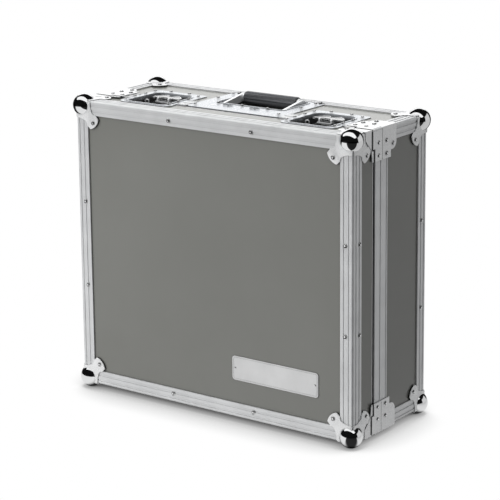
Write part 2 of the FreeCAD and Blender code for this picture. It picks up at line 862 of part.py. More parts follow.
def foam_pieces():
    """Foam on the back panel, on the base's walls, round the dishes and inside the lid."""
    wide = half_size[X] - wall_inset
    tall = half_size[Z] - wall_inset
    back_face = rear_y - wall_inset
    start = base_edge + base_lip_width + foam_clearance
    inner_wide = wide - wall_foam
    inner_tall = tall - wall_foam
    under_pan = top_z - well_depth - sheet - foam_clearance
    back = box((foam_clearance - inner_wide, back_face - base_foam, foam_clearance - inner_tall),
               (inner_wide - foam_clearance, back_face, under_pan - foam_clearance))
    side = box((inner_wide, start, -tall), (wide, back_face, tall))
    bottom = box((-inner_wide, start, -tall), (inner_wide, back_face, -inner_tall))
    top = foam_blocks(start, back_face, under_pan, tall)
    lid_face = front_y + wall_inset
    lid = box((-wide, lid_face, -tall), (wide, lid_face + lid_foam, tall))
    return back, [side, mirrored(side, X), bottom], top, lid


def dish_cutters():
    """Blocks the size of the latch and handle pans, grown by a clearance, through the wall."""
    grow = sheet + cut_clearance
    deep = top_z - wall_inset - overrun
    cutters = []
    for centre in (-latch_offset, latch_offset):
        cutters.append(box((centre - recess_half_width - grow, base_edge - overrun, deep),
                           (centre + recess_half_width + grow, latch_recess_rear + grow,
                            top_z + overrun)))
    wide = well_half_width + grow + pivot_head
    cutters.append(box((-wide, well_front - grow, deep),
                       (wide, well_rear + grow, top_z + overrun)))
    return cutters


def keeper_cutters():
    """Blocks the size of the keeper pans, grown by a clearance, through the lid's top wall."""
    grow = sheet + cut_clearance
    cutters = []
    for centre in (-latch_offset, latch_offset):
        cutters.append(box((centre - recess_half_width - grow, keeper_recess_front - grow,
                            top_z - keeper_floor),
                           (centre + recess_half_width + grow, lid_edge + overrun,
                            top_z + overrun)))
    return cutters


def base_top_profile(bar):
    """The base's upper closing bar, notched for the latches and under the handle's flange."""
    half = handle_half_width + running_gap
    return bar.cut(box((-half, base_edge - overrun, top_z - angle_thickness),
                       (half, strip_end + overrun, top_z + overrun)))


def handle_notch():
    """Block that lets the handle's flange into the back top angle's leg."""
    return box((-handle_half_width - running_gap, handle_front, top_z - angle_thickness),
               (handle_half_width + running_gap, handle_rear + running_gap, top_z + overrun))


def base_bottom_profile(bar):
    """The base's lower closing bar, with its outer strip notched for the hinges."""
    half = hinge_length / 2 + running_gap
    for centre in (-hinge_offset, hinge_offset):
        bar = bar.cut(box((centre - half, base_edge - overrun, -top_z - overrun),
                          (centre + half, strip_end + overrun, -top_z + angle_thickness)))
    return bar


def write_lid(lid_brackets):
    """The lid's nodes."""
    write("lid_front_panel", [face_panel(front_y + angle_thickness, front_y + wall_inset)])
    panels = walls(front_y + wall_inset, lid_edge - web_thickness)
    panels["top"] = cut_all(panels["top"], keeper_cutters())
    for name, panel in panels.items():
        write("lid_" + name + "_wall", [panel])
    for name, bar in frame_angles(-1).items():
        write("lid_" + name + "_angle", [bar])
    rear = base_edge - bracket_tab_lead - bracket_gap
    write("lid_depth_angles", depth_angles(front_y, rear))
    bars = closing_set(lid_closing_section())
    bars["top"] = cut_all(bars["top"], latch_notches())
    for name, bar in bars.items():
        write("lid_tongue_" + name, [bar])
    write("lid_seam_brackets", lid_brackets)
    write("lid_ball_corners", ball_corners(-1))
    write("nameplate", [nameplate()])


def write_base(base_brackets):
    """The base's nodes."""
    write("base_back_panel", [face_panel(rear_y - wall_inset, rear_y - angle_thickness)])
    panels = walls(base_edge + groove_reach + web_thickness, rear_y - wall_inset)
    panels["top"] = cut_all(panels["top"], dish_cutters())
    for name, panel in panels.items():
        write("base_" + name + "_wall", [panel])
    bars = frame_angles(1)
    bars["top"] = bars["top"].cut(handle_notch())
    for name, bar in bars.items():
        write("base_" + name + "_angle", [bar])
    write("base_depth_angles", depth_angles(strip_end, rear_y))
    bars = closing_set(base_closing_section())
    bars["top"] = base_top_profile(cut_all(bars["top"], latch_notches()))
    bars["bottom"] = base_bottom_profile(bars["bottom"])
    for name, bar in bars.items():
        write("base_groove_" + name, [bar])
    write("base_seam_brackets", base_brackets)
    write("base_ball_corners", ball_corners(1))


def write_fittings():
    """Latches, hinges, handle and foam."""
    for name, centre in (("left", -latch_offset), ("right", latch_offset)):
        write("keeper_dish_" + name, [keeper_dish(centre)])
        write("latch_dish_" + name, [latch_dish(centre)])
        write("latch_bridge_" + name, [latch_bridge(centre)])
        write("latch_spindle_" + name, [latch_spindle(centre)])
        write("latch_wing_" + name, [latch_wing(centre)])
        write("latch_hook_" + name, [latch_hook(centre)])
    left = hinge_leaves(-hinge_offset)
    right = hinge_leaves(hinge_offset)
    write("base_hinge_leaves", [left[0], right[0]])
    write("lid_hinge_leaves", [left[1], right[1]])
    write("hinge_pins", [left[2], right[2]])
    write("handle_dish", [handle_dish()])
    write("handle_bail", [handle_bail()])
    write("handle_grip", [handle_grip()])
    write("handle_pivot_pins", pivot_pins())
    back, wall_strips, top, lid = foam_pieces()
    write("base_foam_back", [back])
    write("base_foam_walls", wall_strips)
    write("base_foam_top", top)
    write("lid_foam", [lid])


os.makedirs("parts", exist_ok=True)
base_brackets, lid_brackets = seam_brackets()
write_lid(lid_brackets)
write_base(base_brackets)
write_fittings()
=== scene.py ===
import math
import bmesh
import bpy
from mathutils import Matrix, Vector


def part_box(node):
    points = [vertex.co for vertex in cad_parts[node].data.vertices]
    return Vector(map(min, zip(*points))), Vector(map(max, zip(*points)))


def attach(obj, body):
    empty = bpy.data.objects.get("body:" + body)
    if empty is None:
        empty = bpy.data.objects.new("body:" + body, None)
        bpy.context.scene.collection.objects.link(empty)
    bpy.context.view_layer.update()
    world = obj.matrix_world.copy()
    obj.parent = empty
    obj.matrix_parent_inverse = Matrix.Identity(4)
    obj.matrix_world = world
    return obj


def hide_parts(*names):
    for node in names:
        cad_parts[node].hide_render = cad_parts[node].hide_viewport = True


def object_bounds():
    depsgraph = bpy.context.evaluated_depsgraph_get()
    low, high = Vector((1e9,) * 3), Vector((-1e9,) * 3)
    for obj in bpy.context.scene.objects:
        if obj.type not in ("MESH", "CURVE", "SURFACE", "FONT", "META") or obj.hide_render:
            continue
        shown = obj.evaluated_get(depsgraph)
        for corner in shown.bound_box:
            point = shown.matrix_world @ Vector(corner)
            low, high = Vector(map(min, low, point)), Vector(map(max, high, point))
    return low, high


# Looks of the flight case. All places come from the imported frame, in metres.
# Small sizes are written in millimetres times mm.

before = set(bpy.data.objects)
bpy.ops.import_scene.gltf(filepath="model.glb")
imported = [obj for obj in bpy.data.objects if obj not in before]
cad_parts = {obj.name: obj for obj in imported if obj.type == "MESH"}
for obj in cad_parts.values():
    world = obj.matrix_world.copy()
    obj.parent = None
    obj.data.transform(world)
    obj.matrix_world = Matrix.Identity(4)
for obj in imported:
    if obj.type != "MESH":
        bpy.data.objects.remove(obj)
cad_low, cad_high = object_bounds()
mm = 0.001

# The case's outer planes over the edge angles
left_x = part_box("lid_left_angle")[0].x
right_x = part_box("lid_right_angle")[1].x
front_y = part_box("lid_top_angle")[0].y
rear_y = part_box("base_top_angle")[1].y
bottom_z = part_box("lid_bottom_angle")[0].z
top_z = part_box("lid_top_angle")[1].z
case_width = right_x - left_x
case_depth = rear_y - front_y
case_height = top_z - bottom_z
middle = Vector(((left_x + right_x) / 2, (front_y + rear_y) / 2, (bottom_z + top_z) / 2))
half_size = Vector((case_width / 2, case_depth / 2, case_height / 2))
ball_proud = cad_high.x - right_x
seam_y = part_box("base_groove_top")[0].y

# Sizes of the fittings
sheet = 1.2 * mm
ball_radius = 17.5 * mm
ball_inset = ball_radius - ball_proud

# Camera of the photograph
camera_place = Vector((1.73994, -2.37639, 1.02987))
camera_yaw = -0.63115
camera_pitch = 0.22484
camera_roll = -0.00987
focal_pixels = 1998.89
frame_pixels = 500
principal_row = 175
sensor = 36


# Materials

# Stretches of the noise that draws fine lines
along_x = (0.02, 1, 1)
along_y = (1, 0.02, 1)
along_z = (1, 1, 0.02)
even = (1, 1, 1)

# Sockets of the Mix node when it mixes colours
mix_factor = 0
mix_first = 6
mix_second = 7
mix_result = 2

# Radius that rounds the edges of metal parts in their shading
edge_soft = 0.35 * mm


def node_adder(tree):
    """Function that adds a node, sets its inputs or settings and links sockets to it."""
    def add(kind, links=(), **values):
        node = tree.nodes.new(kind)
        for key, value in values.items():
            if key in node.inputs:
                node.inputs[key].default_value = value
            else:
                setattr(node, key, value)
        for socket, target in links:
            tree.links.new(socket, node.inputs[target])
        return node

    return add


def new_material(name):
    """Material, a function that adds nodes and a function that feeds its main shader."""
    material = bpy.data.materials.new(name)
    material.use_nodes = True
    tree = material.node_tree
    shader = tree.nodes["Principled BSDF"]

    def feed(socket, value):
        if isinstance(value, bpy.types.NodeSocket):
            tree.links.new(value, shader.inputs[socket])
        else:
            shader.inputs[socket].default_value = value

    return material, node_adder(tree), feed


def ramped(add, value, start, end, low, high, way="SMOOTHSTEP"):
    """A value brought from one range to another and held at both ends."""
    node = add("ShaderNodeMapRange", [(value, "Value")], interpolation_type=way)
    node.inputs["From Min"].default_value = start
    node.inputs["From Max"].default_value = end
    node.inputs["To Min"].default_value = low
    node.inputs["To Max"].default_value = high
    return node.outputs["Result"]


def span(add, value, low, high, from_low=0.3, from_high=0.7):
    """A 0 to 1 value, such as noise, brought to a range in a straight line."""
    return ramped(add, value, from_low, from_high, low, high, "LINEAR")


def noise(add, scale, detail, stretch=even):
    """Noise over the object's own coordinates, stretched along the axes."""
    place = add("ShaderNodeTexCoord").outputs["Object"]
    mapping = add("ShaderNodeMapping", [(place, "Vector")], Scale=stretch)
    texture = add("ShaderNodeTexNoise", [(mapping.outputs["Vector"], "Vector")], Scale=scale,
                  Detail=detail)
    return texture.outputs["Fac"]


def tinted(add, value, dark, light):
    """A colour between two, picked by a 0 to 1 value."""
    node = add("ShaderNodeMix", [(value, mix_factor)], data_type="RGBA")
    node.inputs[mix_first].default_value = (*dark, 1)
    node.inputs[mix_second].default_value = (*light, 1)
    return node.outputs[mix_result]


def multiplied(add, colour, level):
    """A colour times a value."""
    node = add("ShaderNodeMix", [(colour, mix_first), (level, mix_second)], data_type="RGBA",
               blend_type="MULTIPLY")
    node.inputs[mix_factor].default_value = 1.0
    return node.outputs[mix_result]


def bumped(add, height, strength, distance, edge=0.0):
    """Normal from bump, over an optional softened edge."""
    links = [(height, "Height")]
    if edge > 0:
        bevel = add("ShaderNodeBevel", Radius=edge, samples=4)
        links.append((bevel.outputs["Normal"], "Normal"))
    bump = add("ShaderNodeBump", links, Strength=strength, Distance=distance)
    return bump.outputs["Normal"]


def shaded_in_corners(add, colour, reach, darkest):
    """A colour with painted shade where pieces meet and in grooves, as dark as ambient occlusion
    finds them.
    """
    openness = add("ShaderNodeAmbientOcclusion", Distance=reach, samples=8).outputs["AO"]
    level = span(add, openness, darkest, 1.0, from_low=0.30, from_high=0.92)
    return multiplied(add, colour, level)


def laminate():
    """Warm grey laminated plywood: fine grain, faint clouding, rub marks and painted shade where
    plates and frames meet it.
    """
    material, add, feed = new_material("grey_laminate")
    clouds = noise(add, 5, 4)
    rubs = noise(add, 9, 2)
    grain = noise(add, 1400, 2)
    colour = tinted(add, span(add, clouds, 0, 1), (0.174, 0.175, 0.159), (0.192, 0.193, 0.177))
    # Painted shade: the laminate darkens where plates and frames meet it.
    feed("Base Color", shaded_in_corners(add, colour, 6 * mm, 0.10))
    feed("Roughness", span(add, rubs, 0.34, 0.38))
    feed("Coat Weight", 0.6)
    feed("Coat Roughness", 0.18)
    feed("Normal", bumped(add, grain, 0.12, 0.02 * mm, 0.3 * mm))
    return material


def metal(name, dark, light, rough, metallic, stretch=even, edge=edge_soft, grain=0.08,
          corner_shade_level=0.10, corner_shade_reach=2.5 * mm, speckle=0.0):
    """Metal with a fine grain, which a stretch draws out into lines, cloudy polish, painted shade
    in corners and grooves, and softened edges."""
    material, add, feed = new_material(name)
    lines = noise(add, 900, 2, stretch)
    clouds = noise(add, 28, 4)
    colour = tinted(add, span(add, clouds, 0, 1), dark, light)
    if speckle > 0:
        spots = noise(add, 650, 1)
        colour = multiplied(add, colour, span(add, spots, 1 - speckle, 1))
    # Painted shade: the colour darkens in corners and grooves, down to the given level.
    if corner_shade_level < 1:
        colour = shaded_in_corners(add, colour, corner_shade_reach, corner_shade_level)
    feed("Metallic", metallic)
    feed("Base Color", colour)
    feed("Roughness", span(add, lines, *rough))
    feed("Normal", bumped(add, lines, grain, 0.01 * mm, edge))
    return material


def depth_shaded_steel(name, deep, top):
    """Plated steel with painted shade by depth: pale at the top of the case and painted dark down
    in the pans.
    """
    dark_below = top_z - 7 * mm
    pale_above = top_z - 1.5 * mm
    material, add, feed = new_material(name)
    place = add("ShaderNodeTexCoord").outputs["Object"]
    height = add("ShaderNodeSeparateXYZ", [(place, 0)]).outputs["Z"]
    # Painted shade: the colour darkens with depth below the top of the case.
    light_by_height = span(add, height, 0, 1, dark_below, pale_above)
    scuffs = noise(add, 650, 2)
    colour = multiplied(add, tinted(add, light_by_height, deep, top), span(add, scuffs, 0.88, 1))
    feed("Metallic", 0.5)
    feed("Base Color", shaded_in_corners(add, colour, 5 * mm, 0.15))
    feed("Roughness", span(add, scuffs, 0.18, 0.30))
    feed("Normal", bumped(add, scuffs, 0.08, 0.01 * mm, edge_soft))
    return material


def rubber():
    """Dark grip rubber with a fine leathery grain, and lengthwise bands of lighter colour that are
    painted sheen.
    """
    material, add, feed = new_material("grip_rubber")
    grain = noise(add, 1100, 3)
    sheen_streaks = noise(add, 260, 2, along_x)
    # Painted sheen: lengthwise bands of lighter colour.
    feed("Base Color", tinted(add, span(add, sheen_streaks, 0, 1, 0.38, 0.62), (0.026, 0.027, 0.030),
                              (0.125, 0.127, 0.135)))
    feed("Roughness", span(add, grain, 0.20, 0.30))
    feed("Specular IOR Level", 0.8)
    feed("Normal", bumped(add, grain, 0.25, 0.05 * mm))
    return material


def foam():
    """Charcoal open-cell foam."""
    material, add, feed = new_material("charcoal_foam")
    cells = noise(add, 900, 2)
    patches = noise(add, 18, 4)
    feed("Base Color", tinted(add, span(add, patches, 0, 1), (0.020, 0.020, 0.022),
                              (0.036, 0.036, 0.039)))
    feed("Roughness", 0.95)
    feed("Normal", bumped(add, cells, 0.9, 0.5 * mm))
    return material


def painted_hollow_shade():
    """Painted shade for hollows: near-black colour that stands for the shade in rivet bores, slits
    and folds.
    """
    material, add, feed = new_material("hollow_shade_paint")
    shade_mottle = noise(add, 700, 2)
    feed("Base Color", tinted(add, span(add, shade_mottle, 0, 1), (0.012, 0.012, 0.012),
                              (0.05, 0.05, 0.05)))
    feed("Roughness", 0.6)
    return material


# Dark and light tone, roughness and metallic share of the extrusions
alloy = ((0.71, 0.715, 0.72), (0.81, 0.815, 0.82), (0.32, 0.44), 0.45)

panel_finish = laminate()
# Metals get painted shade in corners and grooves down to the level given, unless it is 1; the
# closing tongue's reaches far, as deep painted shade in the seam gap.
bar_finish = {
    "x": metal("extrusion_across", *alloy, along_x, corner_shade_level=0.75),
    "y": metal("extrusion_deep", *alloy, along_y, corner_shade_level=0.5),
    "z": metal("extrusion_upright", *alloy, along_z, corner_shade_level=1.0),
}
tongue_finish = metal("closing_tongue", *alloy, corner_shade_level=0.02, corner_shade_reach=12 * mm)
corner_finish = metal("corner_steel", (0.95, 0.955, 0.96), (0.99, 0.99, 0.99), (0.26, 0.38), 0.45,
                      grain=0.2, corner_shade_level=0.3, corner_shade_reach=3 * mm, speckle=0.12)
chrome_finish = metal("chrome", (0.90, 0.905, 0.91), (0.94, 0.945, 0.95), (0.02, 0.04), 1.0,
                      edge=0, grain=0.01, corner_shade_level=0.12)
fitting_finish = metal("fitting_steel", (0.84, 0.845, 0.855), (0.93, 0.935, 0.94), (0.16, 0.28),
                       0.5)
rivet_finish = metal("rivet_steel", (0.80, 0.805, 0.81), (0.90, 0.905, 0.91), (0.08, 0.14), 1.0,
                     edge=0)
plate_finish = metal("plate_alloy", (0.72, 0.72, 0.72), (0.80, 0.80, 0.80), (0.30, 0.40), 0.5,
                     along_x)
# Pans, and the latches' bridges and hooks: steel with painted shade that darkens with depth.
pan_finish = depth_shaded_steel("pressed_pan", (0.12, 0.12, 0.12), (0.66, 0.68, 0.71))
deep_finish = depth_shaded_steel("shaded_steel", (0.05, 0.05, 0.05), (0.84, 0.85, 0.87))
wing_finish = metal("wing_steel", (0.40, 0.405, 0.41), (0.54, 0.545, 0.55), (0.14, 0.22), 0.9)
bail_finish = metal("bail_steel", (0.92, 0.925, 0.93), (0.97, 0.975, 0.98), (0.16, 0.24), 0.35,
                    corner_shade_level=1.0)
rubber_finish = rubber()
foam_finish = foam()
# Near-black painted shade for hollows, slits and shadow lines.
hollow_shade_finish = painted_hollow_shade()


def finish_node(name, material):
    """Give a carried-over node its finish."""
    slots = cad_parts[name].data.materials
    slots.clear()
    slots.append(material)


def finish_nodes():
    """Finish for every carried-over node."""
    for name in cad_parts:
        if name.endswith("_wall") or name.endswith("_panel"):
            finish_node(name, panel_finish)
        elif name.endswith("_angles"):
            finish_node(name, bar_finish["y"])
        elif "_tongue_" in name:
            finish_node(name, tongue_finish)
        elif "_dish" in name:
            finish_node(name, pan_finish)
        elif name.endswith("_angle") or "_groove_" in name:
            upright = "_left" in name or "_right" in name
            finish_node(name, bar_finish["z" if upright else "x"])
        elif name.endswith("_brackets") or "_corners" in name:
            finish_node(name, corner_finish)
        elif name == "nameplate":
            finish_node(name, plate_finish)
        elif "foam" in name:
            finish_node(name, foam_finish)
        elif name == "handle_grip":
            finish_node(name, rubber_finish)
        elif name == "handle_bail":
            finish_node(name, bail_finish)
        elif name.startswith("latch_wing_"):
            finish_node(name, wing_finish)
        elif name.startswith("latch_bridge_") or name.startswith("latch_hook_"):
            finish_node(name, deep_finish)
        else:
            finish_node(name, fitting_finish)


# Meshes

def finished_object(name, mesh, materials, body, crease=math.radians(32)):
    """Object from a bmesh, smooth apart from its sharp edges, riding on a body."""
    bmesh.ops.recalc_face_normals(mesh, faces=mesh.faces)
    for face in mesh.faces:
        face.smooth = True
    for edge in mesh.edges:
        edge.smooth = edge.calc_face_angle(0) < crease
    data = bpy.data.meshes.new(name)
    mesh.to_mesh(data)
    mesh.free()
    for material in materials:
        data.materials.append(material)
    piece = bpy.data.objects.new(name, data)
    bpy.context.scene.collection.objects.link(piece)
    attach(piece, body)
    return piece


def add_wall(mesh, low, high):
    """Add the faces between two rings of as many points."""
    for index in range(len(low)):
        after = (index + 1) % len(low)
        mesh.faces.new((low[index], low[after], high[after], high[index]))


def add_turned(mesh, profile, place, steps, materials=None):
    """Add a turned form. The profile is (radius, height) pairs; place maps it into the frame."""
    rings = []
    for radius, height in profile:
        if radius == 0:
            rings.append([mesh.verts.new(place @ Vector((0, 0, height)))])
            continue
        ring = []
        for step in range(steps):
            angle = 2 * math.pi * step / steps
            point = Vector((radius * math.cos(angle), radius * math.sin(angle), height))
            ring.append(mesh.verts.new(place @ point))
        rings.append(ring)
    for index in range(len(rings) - 1):
        low, high = rings[index], rings[index + 1]
        for step in range(steps):
            after = (step + 1) % steps
            if len(low) == 1:
                face = mesh.faces.new((low[0], high[step], high[after]))
            elif len(high) == 1:
                face = mesh.faces.new((low[step], low[after], high[0]))
            else:
                face = mesh.faces.new((low[step], low[after], high[after], high[step]))
            if materials:
                face.material_index = materials[index]


def facing(point, outward):
    """Matrix that puts a turned form at a point, with its height along a direction."""
    turn = Vector((0, 0, 1)).rotation_difference(Vector(outward))
    return Matrix.Translation(point) @ turn.to_matrix().to_4x4()


# Blind rivet, as (radius, height) in millimetres: the bright flat end of its pin, a hollow round it
# # painted near black as its shade (material 1) and a rolled rim
rivet_profile = [(0.0, 1.7), (1.5, 1.6), (1.75, 1.35), (1.8, 0.2), (2.5, 0.2), (2.6, 1.0),
                 (3.0, 1.1), (3.4, 0.7), (3.6, -0.3), (0.0, -0.3)]
rivet_materials = [0, 0, 0, 1, 1, 0, 0, 0, 0]


def rivets(name, places, body, scale=1.0):
    """A group of equal rivets, given as (point, outward direction) pairs."""
    steps = 20
    mesh = bmesh.new()
    profile = [(radius * scale * mm, height * scale * mm) for radius, height in rivet_profile]
    for point, outward in places:
        add_turned(mesh, profile, facing(point, outward), steps, rivet_materials)
    finished_object(name, mesh, [rivet_finish, hollow_shade_finish], body)


# Ball corners

def corner_place(signs):
    """Matrix from insets at one corner of the case to the frame."""
    corner = Vector([middle[axis] + signs[axis] * half_size[axis] for axis in range(3)])
    turn = Matrix.Diagonal((-signs[0], -signs[1], -signs[2], 1))
    return Matrix.Translation(corner) @ turn


def add_ball(mesh, place):
    """Add the proud part of the ball at one corner, closed flat just under the case's faces."""
    ball = bmesh.new()
    bmesh.ops.create_icosphere(ball, subdivisions=5, radius=ball_radius)
    centre = Vector((ball_inset, ball_inset, ball_inset))
    for vertex in ball.verts:
        vertex.co += centre
    sunk = 0.4 * mm
    for axis in range(3):
        normal = Vector((0, 0, 0))
        normal[axis] = 1
        geometry = ball.verts[:] + ball.edges[:] + ball.faces[:]
        bmesh.ops.bisect_plane(ball, geom=geometry, dist=1e-7, plane_co=normal * sunk,
                               plane_no=normal)
    inner = [face for face in ball.faces if min(face.calc_center_median()) > sunk]
    bmesh.ops.delete(ball, geom=inner, context="FACES")
    seat = ball.verts.new((sunk, sunk, sunk))
    for edge in [edge for edge in ball.edges if edge.is_boundary]:
        ball.faces.new((edge.verts[0], edge.verts[1], seat))
    copies = {}
    for vertex in ball.verts:
        copies[vertex] = mesh.verts.new(place @ vertex.co)
    for face in ball.faces:
        mesh.faces.new([copies[vertex] for vertex in face.verts])
    ball.free()


def arc_points(centre, radius, start, end, count):
    """Points along an arc in a plane, angles in degrees."""
    points = []
    for step in range(count + 1):
        angle = math.radians(start + (end - start) * step / count)
        points.append((centre[0] + radius * math.cos(angle),
                       centre[1] + radius * math.sin(angle)))
    return points


def leg_outline():
    """Plan of one leg of a ball corner in millimetres: flanges along two edges and a fan between
    them."""
    slit = 0.6
    reach = 28.0
    flange = 10.4
    neck = [(33.5, 9.6), (37.5, 9.2), (40.0, 10.2), (41.5, 12.0)]
    fan_centre = 33.0
    fan_radius = 20.6
    fan_half_angle = 33

    def turned(along, across):
        return ((along + across) / math.sqrt(2), (along - across) / math.sqrt(2))

    side = [turned(*point) for point in neck]
    fan = []
    for along, across in arc_points((fan_centre, 0), fan_radius, fan_half_angle,
                                    -fan_half_angle, 12):
        fan.append(turned(along, across))
    other_side = [(b, a) for a, b in reversed(side)]
    return ([(slit, slit), (reach - 1.5, slit), (reach, 2.0), (reach, flange - 1.5),
             (reach + 0.6, flange)] + side + fan + other_side
            + [(flange, reach + 0.6), (flange - 1.5, reach), (2.0, reach), (slit, reach - 1.5)])


def add_plate(mesh, points, place, thickness, bevel):
    """Add a plate with a softened upper edge. Points are millimetres; place maps x, y, height."""
    plate = bmesh.new()
    base = [plate.verts.new((x * mm, y * mm, 0)) for x, y in points]
    face = plate.faces.new(base)
    lifted = bmesh.ops.extrude_face_region(plate, geom=[face])
    top = [item for item in lifted["geom"] if isinstance(item, bmesh.types.BMVert)]
    for vertex in top:
        vertex.co.z = thickness
    edges = [edge for edge in plate.edges
             if all(abs(vertex.co.z - thickness) < 1e-9 for vertex in edge.verts)]
    bmesh.ops.bevel(plate, geom=edges, offset=bevel, segments=3, profile=0.5,
                    affect="EDGES", clamp_overlap=True)
    copies = {vertex: mesh.verts.new(place @ vertex.co) for vertex in plate.verts}
    for face in plate.faces:
        mesh.faces.new([copies[vertex] for vertex in face.verts])
    plate.free()


def face_matrix(signs, face):
    """Matrix from (first inset, second inset, height) on one face at a corner to the frame."""
    first, second = [axis for axis in range(3) if axis != face]
    swap = Matrix.Diagonal((0, 0, 0, 1))
    swap[first][0] = 1
    swap[second][1] = 1
    swap[face][2] = -1
    return corner_place(signs) @ swap


def ball_corners(body, y_sign, node):
    """Chrome balls, their legs and the legs' rivets on one half of the case."""
    balls = bmesh.new()
    legs = bmesh.new()
    places = []
    leg_thickness = 1.3 * mm
    leg_soft = 0.6 * mm
    rivet_height = 1.2 * mm
    lobe_rivet = 47.2 / math.sqrt(2) * mm
    for x_sign in (-1, 1):
        for z_sign in (-1, 1):
            signs = (x_sign, y_sign, z_sign)
            add_ball(balls, corner_place(signs))
            for face in range(3):
                place = face_matrix(signs, face)
                add_plate(legs, leg_outline(), place, leg_thickness, leg_soft)
                point = place @ Vector((lobe_rivet, lobe_rivet, rivet_height))
                outward = Vector((0, 0, 0))
                outward[face] = signs[face]
                places.append((point, outward))
    legs = finished_object(body + "_corner_legs", legs, [corner_finish], body)
    finished_object(body + "_corner_balls", balls, [chrome_finish], body,
                    math.radians(60))
    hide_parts(node)
    rivets(body + "_corner_rivets", places, body)


# Rivets along the edge angles and on the brackets

def angle_rivets():
    """Rivets through the angles: places are millimetres from the case's corners."""
    front_up = 13.5 * mm
    side_in = 17.0 * mm
    base_side_in = 12.7 * mm
    across = (-74.5 * mm, 77.0 * mm)
    upright = (-66.5 * mm, 67.5 * mm)
    lid = []
    base = []
    for x in across:
        for z_sign in (-1, 1):
            z = middle.z + z_sign * (half_size.z - front_up)
            lid.append((Vector((x, front_y, z)), (0, -1, 0)))
            base.append((Vector((x, rear_y, z)), (0, 1, 0)))
            base.append((Vector((x, rear_y - side_in, middle.z + z_sign * half_size.z)),
                         (0, 0, z_sign)))
    for offset in upright:
        z = middle.z + offset
        for x_sign in (-1, 1):
            x = middle.x + x_sign * (half_size.x - front_up)
            lid.append((Vector((x, front_y, z)), (0, -1, 0)))
            base.append((Vector((x, rear_y, z)), (0, 1, 0)))
            side_x = middle.x + x_sign * half_size.x
            lid.append((Vector((side_x, front_y + side_in, z)), (x_sign, 0, 0)))
            base.append((Vector((side_x, rear_y - base_side_in, z)), (x_sign, 0, 0)))
    rivets("lid_angle_rivets", lid, "lid")
    rivets("base_angle_rivets", base, "base")


def bracket_rivets():
    """Rivets on the seam brackets, on the sides and on the top and bottom."""
    base = []
    drops = (20.0 * mm, 38.7 * mm)
    rows = (64.0 * mm, 85.0 * mm)
    ear = (102.0 * mm, 27.0 * mm)
    for x_sign in (-1, 1):
        for z_sign in (-1, 1):
            side_x = middle.x + x_sign * (half_size.x + sheet)
            flat_z = middle.z + z_sign * (half_size.z + sheet)
            spots = [(row, drop) for row in rows for drop in drops]
            if z_sign > 0:
                spots.append(ear)
            for row, drop in spots:
                base.append((Vector((side_x, front_y + row,
                                     middle.z + z_sign * (half_size.z - drop))),
                             (x_sign, 0, 0)))
                base.append((Vector((middle.x + x_sign * (half_size.x - drop), front_y + row,
                                     flat_z)), (0, 0, z_sign)))
    rivets("base_bracket_rivets", base, "base")


# Latch and handle fittings

def add_tube(mesh, points, radius, sides=8):
    """Add a round wire along points, with closed ends."""
    rings = []
    normal = (points[1] - points[0]).orthogonal()
    for index, point in enumerate(points):
        run = points[min(index + 1, len(points) - 1)] - points[max(index - 1, 0)]
        run.normalize()
        normal = (normal - run * normal.dot(run)).normalized()
        across = run.cross(normal)
        ring = []
        for side in range(sides):
            angle = 2 * math.pi * side / sides
            reach = normal * math.cos(angle) + across * math.sin(angle)
            ring.append(mesh.verts.new(point + reach * radius))
        rings.append(ring)
    for low, high in zip(rings, rings[1:]):
        add_wall(mesh, low, high)
    mesh.faces.new(list(reversed(rings[0])))
    mesh.faces.new(rings[-1])


def spindle_centre(side):
    """Middle of a latch spindle, level with the top of the case."""
    low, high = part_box("latch_spindle_" + side)
    return Vector(((low.x + high.x) / 2, (low.y + high.y) / 2, top_z))


def wing_spring(side):
    """Coil spring wound round the barrel of a latch's wing."""
    centre = spindle_centre(side) - Vector((0, 0, 2.9 * mm))
    wire = 0.55 * mm
    start = -6.3 * mm
    pitch = 2.1 * mm
    radius = 2.9 * mm
    steps = 16
    turns = 6
    mesh = bmesh.new()
    points = []
    for step in range(turns * steps + 1):
        angle = -math.pi / 2 - 2 * math.pi * step / steps
        points.append(centre + Vector((start + pitch * step / steps,
                                       radius * math.cos(angle), radius * math.sin(angle))))
    add_tube(mesh, points, wire)
    finished_object("wing_spring_" + side, mesh, [rivet_finish], "wing_" + side,
                    math.radians(60))


def lock_eye(side):
    """Padlock eye that stands on the floor of the latch pan, beside the wing."""
    centre = spindle_centre(side) + Vector((-30.4 * mm, -4.1 * mm, -8.1 * mm))
    turn = Matrix.Rotation(math.radians(34), 3, "Z")
    outer = 3.7 * mm
    inner = 2.0 * mm
    half = 0.9 * mm
    soft = 0.4 * mm
    foot = 6.5 * mm
    steps = 20
    section = [(inner, -half), (inner + soft, -half - 0.3 * mm), (outer - soft, -half),
               (outer, -half + soft), (outer, half - soft), (outer - soft, half),
               (inner + soft, half + 0.3 * mm), (inner, half)]
    angles = [2 * math.pi * step / steps for step in range(steps)]
    mesh = bmesh.new()

    def point(x, y, z):
        return mesh.verts.new(centre + turn @ Vector((x, y, z)))

    rings = []
    for angle in angles:
        rings.append([point(radius * math.cos(angle), across, radius * math.sin(angle))
                      for radius, across in section])
    for low, high in zip(rings, rings[1:] + rings[:1]):
        add_wall(mesh, low, high)
    # The eye's hole is closed by a disc painted near black as its shade.
    hollow = [point(inner * math.cos(angle), half / 2, inner * math.sin(angle))
              for angle in angles]
    mesh.faces.new(hollow).material_index = 1
    plan = [(-outer, -half), (outer, -half), (outer, half), (-outer, half)]
    sole = [point(x, y, -foot) for x, y in plan]
    neck = [point(x, y, -inner - 0.6 * mm) for x, y in plan]
    add_wall(mesh, sole, neck)
    mesh.faces.new(list(reversed(sole)))
    mesh.faces.new(neck)
    finished_object("lock_eye_" + side, mesh, [bail_finish, hollow_shade_finish], "base")


